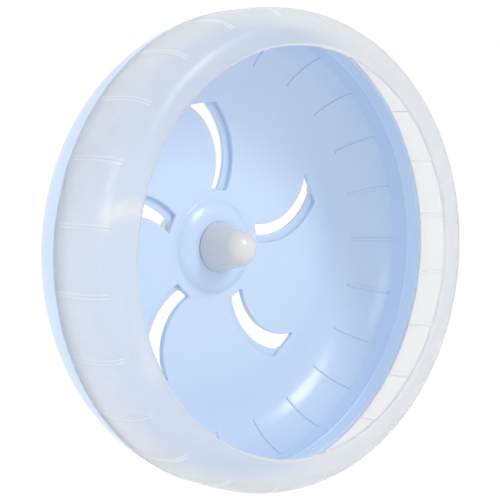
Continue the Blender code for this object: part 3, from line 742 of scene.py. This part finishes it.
@dataclass
class RearShell:
    """The blue dish: hub, disc with its slots, fillet with its ribs, and the rim."""

    disc_front: float = -14.4
    wall: float = 2.2
    rim_radius: float = 84.5
    fillet: float = 24.4
    tongue: float = 82.9
    tongue_bead: float = 83.35
    tongue_root: float = 80.4
    crease: float = 22.0
    rib_start: float = 66.0
    hub_mouth: float = 8.2
    hub_sleeve: float = 12.5
    hub_end: float = -6.8
    bearing_seat: float = 9.8
    circlip_groove: float = 10.7
    boss_foot: float = 18.4
    boss_crest: float = 10.4
    boss_height: float = 2.7
    boss_dome: float = 11.1
    boss_slope: float = 34.0
    flat_inner: float = 19.9
    flat_outer: float = 56.0
    rear_inner: float = 16.0
    rear_outer: float = 57.0
    slot_count: int = 5
    slot_inner: float = 21.4
    slot_outer: float = 53.1
    slot_heading: float = 93.0
    slot_twist: float = 9.6
    slot_widths: Point = (4.3, 9.0)
    slot_bows: Point = (0.2106, 0.1731)
    hair: float = 0.08
    ledge_width: float = 2.8
    ledge_depth: float = 2.0
    scoop_depth: float = 1.3
    scoop_wall: float = 1.3
    scoop_overlap: float = 0.9
    corner: float = 0.5
    rim_bevels: Triple = (0.45, 0.15, 0.2)      # at the disc's front, its rear and the scoops
    rim_angle: float = 40.0
    spoke: float = 84.0
    spoke_room: float = 0.45
    rib_radius: float = 76.0
    ribs: RibBank = RibBank()

    @property
    def disc_rear(self) -> float:
        """The disc's rear plane."""
        return self.disc_front + self.wall

    @property
    def middle(self) -> Point:
        """The centre of the fillet's arcs."""
        return (self.rim_radius - self.fillet, self.disc_rear - self.fillet)

    def boss(self) -> list[Point]:
        """Draw the low domed boss from the disc to the cap's seat.

        A faint gutter and a tight hollow at its foot give the fine line that runs round it.
        """
        front, foot, slope, dome = self.disc_front, self.boss_foot, self.boss_slope, self.boss_dome
        crest = (self.boss_crest, front - self.boss_height)
        return [
            (self.flat_inner, front),
            (foot + 0.1, front),
            (foot, front + 0.04),
            (foot - 0.1, front + 0.05),
            *arc((foot - 0.2, front - 1.55), 1.6, 90.0, 90.0 + slope, 6),
            *arc((crest[0], crest[1] + dome), dome, slope - 90.0, -90.0, 16),
            *eased(crest, (9.9, -17.1), 2),
            (9.6, -17.4),
        ]

    def profile(self) -> list[Point]:
        """Draw the whole shell's closed profile."""
        inner = self.fillet - self.wall
        disc, seam = self.disc_rear, SEAM
        crease = self.middle[0] + inner * math.cos(math.radians(self.crease))
        rim = softened([
            (self.rim_radius, self.middle[1]),
            (self.rim_radius, seam, 0.25),
            (self.tongue, seam, 0.1),
            *bead(self.tongue, self.tongue_bead),
            (self.tongue, seam - 4.0, 0.3),
            (81.3, seam - 4.0, 0.3),
            (80.62, seam + 0.9, 0.1),
            (self.tongue_root, seam + 1.0, 0.1),
            (self.tongue_root, seam + 1.9, 0.15),
            (80.85, seam + 2.2, 0.15),
            (80.98, seam + 3.0),
        ], 3)[1:-1]
        hub = softened([
            (self.hub_mouth, -17.4, 0.15),
            (self.hub_mouth, -15.4, 0.1),
            (self.bearing_seat, -15.4, 0.1),
            (self.bearing_seat, -9.1, 0.1),
            (self.circlip_groove, -9.1, 0.1),
            (self.circlip_groove, -7.5, 0.1),
            (self.bearing_seat, -7.5, 0.1),
            (self.bearing_seat, self.hub_end, 0.25),
            (self.hub_sleeve, self.hub_end, 0.4),
            (self.hub_sleeve, disc, 0.9),
            (self.rear_inner, disc),
            (self.rear_outer, disc),
        ], 3)
        fillet_in = arc(self.middle, inner, self.crease, 90.0, 26)
        return [
            *hub[:-1],
            (self.rear_outer, disc),
            *arc(self.middle, self.fillet, 90.0, 0.0, 24),
            *rim,
            (80.98, seam + 2.7),
            (crease + 0.24, seam + 4.6),
            (crease + 0.12, seam + 6.6),
            *fillet_in,
            (self.flat_outer, self.disc_front),
            *self.boss(),
        ]

    def side(self, start: float, twist: float, bow_share: float) -> tuple[Point, float]:
        """Find the arc of a slot's side.

        Args:
            start: The heading in degrees where it leaves the inner circle.
            twist: How much further on it meets the outer circle, in degrees.
            bow_share: Its bow as a share of its chord, clockwise.

        Returns:
            The arc's centre and its radius.
        """
        first, last = math.radians(start), math.radians(start + twist)
        near = Vector((math.cos(first), math.sin(first))) * self.slot_inner
        far = Vector((math.cos(last), math.sin(last))) * self.slot_outer
        chord = far - near
        bow = chord.length * bow_share
        radius = (chord.length ** 2 / 4 + bow ** 2) / (2 * bow)
        centre = (near + far) / 2 + Vector((-chord.y, chord.x)).normalized() * (radius - bow)
        return (centre.x, centre.y), radius

    @staticmethod
    def span(centre: Point, radius: float, inner: float, outer: float) -> tuple[float, float]:
        """Find the angles in degrees where a circle meets an inner and an outer circle."""
        reach, heading = math.hypot(*centre), math.atan2(centre[1], centre[0])

        def meeting(limit: float) -> float:
            """Return the angle at one circle."""
            cosine = (reach ** 2 + radius ** 2 - limit ** 2) / (2 * reach * radius)
            return math.degrees(heading + math.pi + math.acos(cosine))

        return meeting(inner), meeting(outer)

    def band(self, near: tuple[Point, float], far: tuple[Point, float], inner: float,
             outer: float) -> list[Point]:
        """Draw the outline between two arcs, closed at an inner and an outer circle.

        Args:
            near: Centre and radius of the first arc.
            far: Centre and radius of the second arc.
            inner: Radius of the inner circle.
            outer: Radius of the outer circle.

        Returns:
            The outline, seen from the front.
        """
        out = self.span(*near, inner, outer)
        back = self.span(*far, inner, outer)
        return arc(*near, *out, 20) + arc(*far, *reversed(back), 20)

    def rounded(self, outline: list[Point]) -> list[Point]:
        """Round the four corners of an outline that band() drew.

        Args:
            outline: The outline's points.

        Returns:
            The outline with an arc at each corner.
        """
        half = len(outline) // 2
        corners = (0, half - 1, half, 2 * half - 1)
        return softened([(*spot, self.corner) if k in corners else spot for k, spot in enumerate(outline)], 4)

    def slots(self, shell: bpy.types.Object) -> None:
        """Raise the scoops behind the disc, then sink the ledges and cut the slots.

        A ledge's recess is a hair wider than its slot, so that no two cuts share a face.
        """
        inner_turn, outer_turn = self.slot_widths[0] / self.slot_inner, self.slot_widths[1] / self.slot_outer
        hollow = self.side(self.slot_heading, self.slot_twist, self.slot_bows[0])
        bulge = self.side(self.slot_heading - math.degrees(inner_turn),
                          self.slot_twist - math.degrees(outer_turn - inner_turn), self.slot_bows[1])
        wide = (bulge[0], bulge[1] + self.ledge_width)
        rear, hair = self.disc_rear + self.scoop_depth, self.hair
        opening = self.band(hollow, bulge, self.slot_inner, self.slot_outer)
        ledge = self.band((hollow[0], hollow[1] - hair), wide, self.slot_inner - hair, self.slot_outer + hair)
        scoop = self.band((bulge[0], bulge[1] - self.scoop_overlap), (wide[0], wide[1] + self.scoop_wall),
                          self.slot_inner - self.scoop_wall, self.slot_outer + self.scoop_wall)
        tools = (
            (Bench.prism("scoops", scoop, self.disc_rear - 1.0, rear), "UNION"),
            (Bench.prism("ledges", self.rounded(ledge), self.disc_front - 2.0,
                         self.disc_front + self.ledge_depth), "DIFFERENCE"),
            (Bench.prism("slots", self.rounded(opening), self.disc_front - 1.0, rear + 2.0), "DIFFERENCE"),
        )
        for tool, operation in tools:
            Bench.take(tool)
            Bench.copies(self.slot_count, TAU / self.slot_count)
            Bench.combine(shell, tool, operation)

    def flatten(self) -> None:
        """Join the narrow faces of the disc's two flats into wide ones.

        The spokes that stay run through the slots, so that no slot is a hole inside a face.
        """
        pitch = 360.0 / self.slot_count
        flats = ((self.disc_front, self.flat_inner, self.flat_outer),
                 (self.disc_rear, self.rear_inner, self.rear_outer))

        def spoke(edge: Any) -> bool:
            """Tell whether an edge crosses a flat away from those that stay."""
            near, far = sorted(polar(vert.co)[:2] for vert in edge.verts)
            heading = polar(edge.verts[0].co)[2]
            kept = abs((heading - self.spoke + pitch / 2) % pitch - pitch / 2) < self.spoke_room
            crosses = any(abs(near[0] - inner) < 0.05 and abs(far[0] - outer) < 0.05
                          and abs(near[1] - plane) < 0.01 for plane, inner, outer in flats)
            return crosses and not kept

        log.info("spokes dissolved: %d", Bench.pick(Part.EDGE, spoke))
        bpy.ops.mesh.dissolve_edges(use_verts=False)

    def soften_slots(self, shell: bpy.types.Object) -> None:
        """Round the slots' rims, plane by plane, most at the front."""
        Bench.take(shell)
        Bench.merge(0.02)
        planes = (self.disc_front, self.disc_rear, self.disc_rear + self.scoop_depth)
        for plane, offset in zip(planes, self.rim_bevels):

            def rim(edge: Any) -> bool:
                """Tell whether an edge is an outstanding edge of a slot or scoop in this plane."""
                ends = [polar(vert.co) for vert in edge.verts]
                level = all(abs(y - plane) < 0.02 for _, y, _ in ends)
                inside = all(self.flat_inner + 0.1 < radius < self.flat_outer - 0.1 for radius, _, _ in ends)
                return (level and inside and len(edge.link_faces) == 2 and edge.is_convex
                        and edge.calc_face_angle(0.0) > math.radians(self.rim_angle))

            log.info("slot edges rounded at %.1f: %d", plane, Bench.pick(Part.EDGE, rim))
            bpy.ops.mesh.bevel(offset=offset * MM, segments=3, affect="EDGES", clamp_overlap=False)

    def build(self) -> None:
        """Build the shell."""
        inner = self.fillet - self.wall

        def carries(radius: float, y: float) -> bool:
            """Tell whether a place is on the inner fillet between crease and rib start."""
            across, along = radius - self.middle[0], y - self.middle[1]
            turn = math.degrees(math.atan2(along, across))
            return abs(math.hypot(across, along) - inner) < 0.2 and self.crease < turn < self.rib_start

        shell = self.ribs.sector("blue_shell_dish", self.profile(), self.rib_radius, carries)
        self.flatten()
        self.slots(shell)
        self.soften_slots(shell)
        Bench.finish(shell)
        fit(shell, BLUE, Body.WHEEL, "rear_shell")


@dataclass
class FrontRing:
    """The milky ring: a skirt over the shell's tongue, a ribbed wall and a rolled lip."""

    radius: float = 85.0
    skirt: float = 83.2
    skirt_groove: float = 83.65
    wall: float = 2.4
    straight: float = 9.0
    depth: float = 28.4
    lip: float = 72.2
    roundness: float = 2.8
    rib_end: float = 52.0
    rib_radius: float = 82.0
    ribs: RibBank = RibBank(phase=RING_RIB_PHASE)

    def curve(self, inset: float, start: float, stop: float, count: int) -> list[Point]:
        """Draw the ring's tyre-like curve, some way inside its outer face.

        Args:
            inset: How far inside.
            start: The curve's first parameter, in degrees.
            stop: Its last.
            count: How many steps lie between.

        Returns:
            The points in order.
        """
        across, along = self.radius - inset - self.lip, self.depth - self.straight - inset
        power = 2.0 / self.roundness
        points = []
        for k in range(count + 1):
            turn = math.radians(start + (stop - start) * k / count)
            points.append((self.lip + across * max(math.cos(turn), 0.0) ** power,
                           SEAM - self.straight - along * max(math.sin(turn), 0.0) ** power))
        return points

    def profile(self) -> list[Point]:
        """Draw the ring's closed profile."""
        edge, stop = SEAM - 0.3, SEAM - 4.3
        nose = (self.lip, SEAM - self.depth + self.wall / 2)
        rows = [
            *self.curve(0.0, 0.0, 90.0, 40),
            *arc(nose, self.wall / 2, -90.0, -270.0, 10)[1:-1],
            *self.curve(self.wall, 90.0, 0.0, 40),
        ]
        skirt = softened([
            (self.radius - self.wall, stop, 0.2),
            (self.skirt, stop, 0.1),
            *reversed(bead(self.skirt, self.skirt_groove)),
            (self.skirt, edge, 0.15),
            (self.radius, edge, 0.25),
            (self.radius, SEAM - self.straight),
        ], 3)[:-1]
        upright = [(self.radius - self.wall, SEAM - self.straight + k) for k in (1.0, 2.2, 3.4, 4.4)]
        return [*rows, *upright, *skirt]

    def build(self) -> None:
        """Build the ring."""
        last = self.curve(self.wall, self.rib_end, self.rib_end, 1)[0]

        def carries(radius: float, y: float) -> bool:
            """Tell whether a place is on the ring's inner, running side."""
            if y > SEAM - 4.6 or y < last[1] or radius > self.radius - self.wall + 0.05:
                return False
            return radius > last[0] - 0.05

        ring = self.ribs.sector("milky_front_ring", self.profile(), self.rib_radius, carries)
        Bench.finish(ring)
        fit(ring, MILKY, Body.WHEEL, "front_ring")


@dataclass
class HubCap:
    """The pale cap: a cone that runs into a dome, hollow over a snap spigot."""

    radius: float = 9.35
    base: float = -17.7
    length: float = 17.1
    dome: float = 7.1
    wall: float = 1.4
    bore: float = 6.8
    spigot: float = 7.9
    spigot_end: float = -15.7

    def build(self) -> None:
        """Build the cap."""
        centre = self.base - self.length + self.dome
        run = self.base - centre
        reach = math.hypot(run, self.radius)
        lean = math.degrees(math.atan2(run, self.radius) - math.acos(self.dome / reach))
        outer = arc((0.0, centre), self.dome, lean, -90.0, 30)
        inner = arc((0.0, centre), self.dome - self.wall, -90.0, lean, 20)
        foot = softened([
            (self.bore, self.base - self.wall, 0.2),
            (self.bore, self.spigot_end, 0.1),
            (self.spigot, self.spigot_end, 0.15),
            (self.spigot, -16.05, 0.05),
            (self.spigot + 0.35, -16.4, 0.15),
            (self.spigot, -16.75, 0.05),
            (self.spigot, self.base, 0.1),
            (self.radius, self.base, 0.22),
            outer[0],
        ], 4)[:-1]
        cap = Bench.turned("domed_hub_cap", [*outer, *inner, *foot], 128)
        Bench.finish(cap, weighted=False)
        fit(cap, PALE, Body.WHEEL, "hub_cap")


@dataclass
class AxleBolt:
    """The M6 bolt: a chamfered hexagon head, a plain shank and a real thread."""

    radius: float = 3.0
    head_front: float = -21.3
    head_rear: float = -17.3
    flats: float = 10.0
    end: float = 17.3
    thread_start: float = -4.5
    pitch: float = 1.0
    depth: float = 0.5

    def head(self) -> bpy.types.Object:
        """Model the head: a hexagon whose corners are turned away at its face."""
        head = Bench.prism("bolt_head", hexagon(self.flats), self.head_front, self.head_rear)
        crown = Bench.turned("bolt_crown", [
            (0.0, self.head_front - 1.0), (self.flats / 2 - 0.9, self.head_front - 0.5),
            (self.flats / 2 + 1.4, self.head_front + 0.8), (self.flats / 2 + 1.4, self.head_rear + 1.0),
            (0.0, self.head_rear + 1.0)], 48)
        Bench.combine(head, crown, "INTERSECT")
        return head

    def thread(self) -> bpy.types.Object:
        """Model the thread's ridge as one closed helical bar."""
        root = self.radius - self.depth
        turns = int(self.end - self.thread_start - 1.6)
        start = self.thread_start
        section = [(root - 0.15, start), (root, start), (self.radius - 0.02, start + 0.38),
                   (self.radius - 0.02, start + 0.5), (root, start + 0.88), (root - 0.15, start + 0.88)]
        ridge = Bench.draw("bolt_thread", [Vector((r, y, 0)) for r, y in section])
        Bench.modify(ridge, "SCREW", axis="Y", angle=TAU, screw_offset=self.pitch * MM, iterations=turns,
                     steps=28, render_steps=28, use_merge_vertices=False, use_smooth_shade=False)
        Bench.take(ridge)
        Bench.pick(Part.EDGE, lambda edge: edge.is_boundary)
        bpy.ops.mesh.edge_face_add()
        Bench.outward()
        return ridge

    def build(self) -> None:
        """Build the bolt."""
        root = self.radius - self.depth
        shank = softened([
            (0.0, self.head_rear - 1.5), (self.radius, self.head_rear - 1.5),
            (self.radius, self.thread_start - 0.6, 0.2), (root, self.thread_start, 0.2),
            (root, self.end - 0.5, 0.1), (root - 0.5, self.end, 0.1), (0.0, self.end)], 3)
        bolt = Bench.turned("threaded_axle_bolt", shank, 56)
        for tool in (self.head(), self.thread()):
            Bench.combine(bolt, tool, "UNION")
        Bench.finish(bolt, 30.0, weighted=False)
        fit(bolt, ZINC, Body.MOUNT, "axle_bolt")


@dataclass
class CageClamp:
    """The flange, the pressure disc and their rubber rings, each side of the cage wall."""

    hole: float = 3.3
    pad_outer: float = 12.2
    pad_inner: float = 6.6
    pad_thick: float = 1.4
    grooves: Point = (8.4, 10.4)
    groove_depth: float = 0.25
    flange_radius: float = 16.0
    disc_radius: float = 13.4
    pocket: float = 10.6
    wire: float = 2.6

    def pad(self, name: str, face: float, back: float, body: Body, node: str) -> None:
        """Build a rubber ring with two shallow grooves in its gripping face.

        Args:
            name: The piece's name.
            face: The plane of its gripping face.
            back: The plane of its hidden face.
            body: The body that it rides on.
            node: The node that it replaces.
        """
        down = self.groove_depth if back > face else -self.groove_depth
        corners = [(self.pad_inner, back, 0.1), (self.pad_inner, face, 0.3)]
        for middle in self.grooves:
            corners += [(middle - 0.35, face, 0.08), (middle - 0.2, face + down, 0.08),
                        (middle + 0.2, face + down, 0.08), (middle + 0.35, face, 0.08)]
        corners += [(self.pad_outer, face, 0.3), (self.pad_outer, back, 0.1)]
        ring = Bench.turned(name, softened(corners, 3), 96)
        Bench.finish(ring, weighted=False)
        fit(ring, RUBBER, body, node)

    def flange(self) -> None:
        """Build the flange with the hexagon pocket for its jam nut."""
        well = self.pad_outer + 0.3
        profile = softened([
            (self.hole, -4.8, 0.2), (12.0, -4.8, 0.5), (self.flange_radius, -3.2, 0.5),
            (self.flange_radius, -0.6, 0.3), (well, -0.6, 0.2), (well, -1.7, 0.1), (self.hole, -1.7, 0.1)], 4)
        flange = Bench.turned("clamp_flange", profile, 128)
        Bench.combine(flange, Bench.prism("nut_pocket", hexagon(self.pocket), -3.5, 0.5), "DIFFERENCE")
        Bench.finish(flange)
        fit(flange, CLAMP_PLASTIC, Body.MOUNT, "mount_flange")

    def pressure_disc(self) -> None:
        """Build the cupped disc behind the wall, with a raised ring under the nut."""
        well = self.pad_outer + 0.3
        profile = softened([
            (self.hole, 4.3, 0.1), (well, 4.3, 0.1), (well, 3.2, 0.2), (self.disc_radius, 3.2, 0.3),
            (self.disc_radius, 4.3, 0.5), (10.0, 6.1, 1.0), (7.4, 6.15, 0.2), (7.1, 6.4, 0.15),
            (self.hole, 6.4, 0.2)], 4)
        disc = Bench.turned("clamp_pressure_disc", profile, 128)
        Bench.finish(disc)
        fit(disc, CLAMP_PLASTIC, Body.CLAMP, "pressure_disc")

    def build(self) -> None:
        """Build the four pieces."""
        self.flange()
        self.pad("flange_grip_pad", 0.0, -self.pad_thick, Body.MOUNT, "flange_pad")
        self.pad("disc_grip_pad", self.wire, self.wire + self.pad_thick, Body.CLAMP, "disc_pad")
        self.pressure_disc()


@dataclass
class WingNut:
    """The wing nut: a coned body with two rounded wings."""

    hole: float = 3.3
    front: float = 6.7
    rear: float = 12.7
    foot_radius: float = 6.0
    top_radius: float = 5.0
    wing_reach: float = 14.0
    wing_top: float = 16.7
    wing_thick: float = 2.4
    wing_corner: float = 3.0
    wing_rounding: float = 0.7

    def wing(self) -> bpy.types.Object:
        """Model one wing as a rounded plate and copy it to the other side."""
        low = self.front + 1.2
        corner = (self.wing_reach - self.wing_corner, self.wing_top - self.wing_corner)
        outline = [(4.2, low), (6.0, low), (11.2, low + 1.0), (self.wing_reach - 0.4, low + 3.4),
                   *arc(corner, self.wing_corner, 0.0, 135.0, 12),
                   (7.2, self.rear - 0.6), (4.2, self.rear - 1.2)]
        half = self.wing_thick / 2
        wing = Bench.draw("nut_wings", [Vector((r, y, -half)) for r, y in outline])
        bpy.ops.mesh.edge_face_add()
        bpy.ops.mesh.extrude_region_move(TRANSFORM_OT_translate={"value": (0, 0, self.wing_thick * MM)})
        Bench.outward()
        steep, root = math.radians(60), 5 * MM
        Bench.pick(Part.EDGE, lambda edge: edge.calc_face_angle(0.0) > steep and edge.verts[0].co.x > root)
        bpy.ops.mesh.bevel(offset=self.wing_rounding * MM, segments=4, affect="EDGES", clamp_overlap=False)
        Bench.copies(2, math.pi)
        return wing

    def build(self) -> None:
        """Build the nut."""
        body = softened([
            (self.hole, self.front, 0.2), (self.foot_radius, self.front, 0.3),
            (self.foot_radius, self.front + 1.2, 0.3), (self.top_radius, self.rear, 0.5),
            (self.hole, self.rear, 0.4)], 4)
        nut = Bench.turned("winged_nut", body, 96)
        Bench.combine(nut, self.wing(), "UNION")
        Bench.finish(nut)
        fit(nut, CLAMP_PLASTIC, Body.NUT, "wing_nut")


class CarriedNodes:
    """The CAD nodes whose shape stays; they only take a finish."""

    FINISHES = {
        STEEL: ["bearing_outer_race", "bearing_inner_race", *(f"bearing_ball_{k:02d}" for k in range(1, 8))],
        ZINC: ["bearing_shield_front", "bearing_shield_rear", "bearing_circlip", "axle_washer",
               "spacer_bush", "jam_nut"],
        NYLON: ["bearing_cage"],
    }

    def build(self) -> None:
        """Give each carried node its finish."""
        for finish, names in self.FINISHES.items():
            for name in names:
                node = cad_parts[name]
                for slot in node.material_slots:
                    slot.material = finish.material()
                log.info("%s carries %s", name, finish.name)


@dataclass
class Studio:
    """Camera, soft lamps, plain floor and white surround."""

    lens: float = 106.674
    azimuth: float = -40.28
    elevation: float = 3.84
    eye: Triple = (-343.35, -440.06, 35.31)
    floor_drop: float = 118.0
    floor_glow: float = 1.07
    floor_share: float = 0.60
    floor_seen_share: float = 0.26
    ambient: float = 0.82

    @staticmethod
    def direction(azimuth: float, elevation: float) -> Vector:
        """Return the way from the wheel to a viewer.

        Args:
            azimuth: The viewer's angle to the right of the wheel's front, in degrees.
            elevation: Its angle above the floor, in degrees.

        Returns:
            A vector of length one.
        """
        a, e = math.radians(azimuth), math.radians(elevation)
        return Vector((math.sin(a) * math.cos(e), -math.cos(a) * math.cos(e), math.sin(e)))

    @staticmethod
    def hang(data: bpy.types.ID, spot: Vector, facing: Vector) -> bpy.types.Object:
        """Put a camera or a lamp into the scene.

        Args:
            data: The camera or the lamp.
            spot: Where it goes, in metres.
            facing: The way that it looks.

        Returns:
            Its object.
        """
        item = bpy.data.objects.new(data.name, data)
        bpy.context.scene.collection.objects.link(item)
        item.location = spot
        item.rotation_euler = facing.to_track_quat("-Z", "Y").to_euler()
        return item

    def camera(self) -> None:
        """Place the camera where the photograph was taken from."""
        data = bpy.data.cameras.new("photo_camera")
        data.lens, data.sensor_width = self.lens, 36.0
        facing = -self.direction(self.azimuth, self.elevation)
        bpy.context.scene.camera = self.hang(data, Vector(self.eye) * MM, facing)

    def lamp(self, name: str, azimuth: float, elevation: float, distance: float, size: float,
             watts: float) -> None:
        """Hang a square soft lamp that faces the wheel.

        Args:
            name: The lamp's name.
            azimuth: Its angle to the right of the wheel's front, in degrees.
            elevation: Its angle above the floor, in degrees.
            distance: How far off it is, in metres.
            size: Its width, in metres.
            watts: Its power.
        """
        data = bpy.data.lights.new(name, "AREA")
        data.energy, data.size = watts, size
        out = self.direction(azimuth, elevation)
        self.hang(data, Vector((0.0, -0.03, 0.0)) + out * distance, -out)

    def world(self) -> None:
        """Make a surround that is white to the eye and to gloss, and softer as a lamp."""
        world = bpy.data.worlds.new("white_surround")
        bpy.context.scene.world = world
        world.use_nodes = True
        board = Board(world.node_tree)
        path = board.node("ShaderNodeLightPath")
        seen = path["Is Camera Ray"] + path["Is Glossy Ray"] + path["Is Transmission Ray"]
        soft = board.plain("ShaderNodeBackground", WHITE, Strength=self.ambient)
        white = board.plain("ShaderNodeBackground", WHITE, Strength=1.0)
        board.output(board.mix(seen.apply("MINIMUM", 1.0), soft, white), "ShaderNodeOutputWorld")

    def floor(self) -> None:
        """Lay a plain white floor that keeps a faint shadow."""
        Bench.rest()
        bpy.ops.mesh.primitive_plane_add(size=12.0, location=(0, 0, -self.floor_drop * MM))
        item = bpy.context.object
        item.name = "studio_floor"
        made = bpy.data.materials.new("studio_floor")
        made.use_nodes = True
        board = Board(made.node_tree)
        path = board.node("ShaderNodeLightPath")
        eye = path["Is Camera Ray"] + path["Is Transmission Ray"]
        matt = board.plain("ShaderNodeBsdfDiffuse", (0.95, 0.95, 0.95))
        glow = board.plain("ShaderNodeEmission", WHITE, Strength=self.floor_glow)
        board.output(board.mix(eye * self.floor_seen_share + self.floor_share, matt, glow))
        item.data.materials.append(made)

    def build(self) -> None:
        """Set up the whole studio."""
        self.camera()
        self.world()
        self.floor()
        self.lamp("key_lamp", azimuth=11.5, elevation=34.0, distance=1.3, size=0.40, watts=4.6)
        self.lamp("left_lamp", azimuth=-80.0, elevation=24.0, distance=1.2, size=0.60, watts=3.2)
        bpy.context.scene.view_settings.view_transform = "Standard"


def main() -> None:
    """Build every piece in order and report it."""
    logging.basicConfig(level=logging.INFO, format="%(name)s: %(message)s")
    Bench.rest()
    Studio().build()
    for assembly in (RearShell(), FrontRing(), HubCap(), AxleBolt(), CageClamp(), WingNut(), CarriedNodes()):
        assembly.build()
        log.info("%s is done", type(assembly).__name__)
    Bench.rest()


if __name__ == "__main__":
    main()
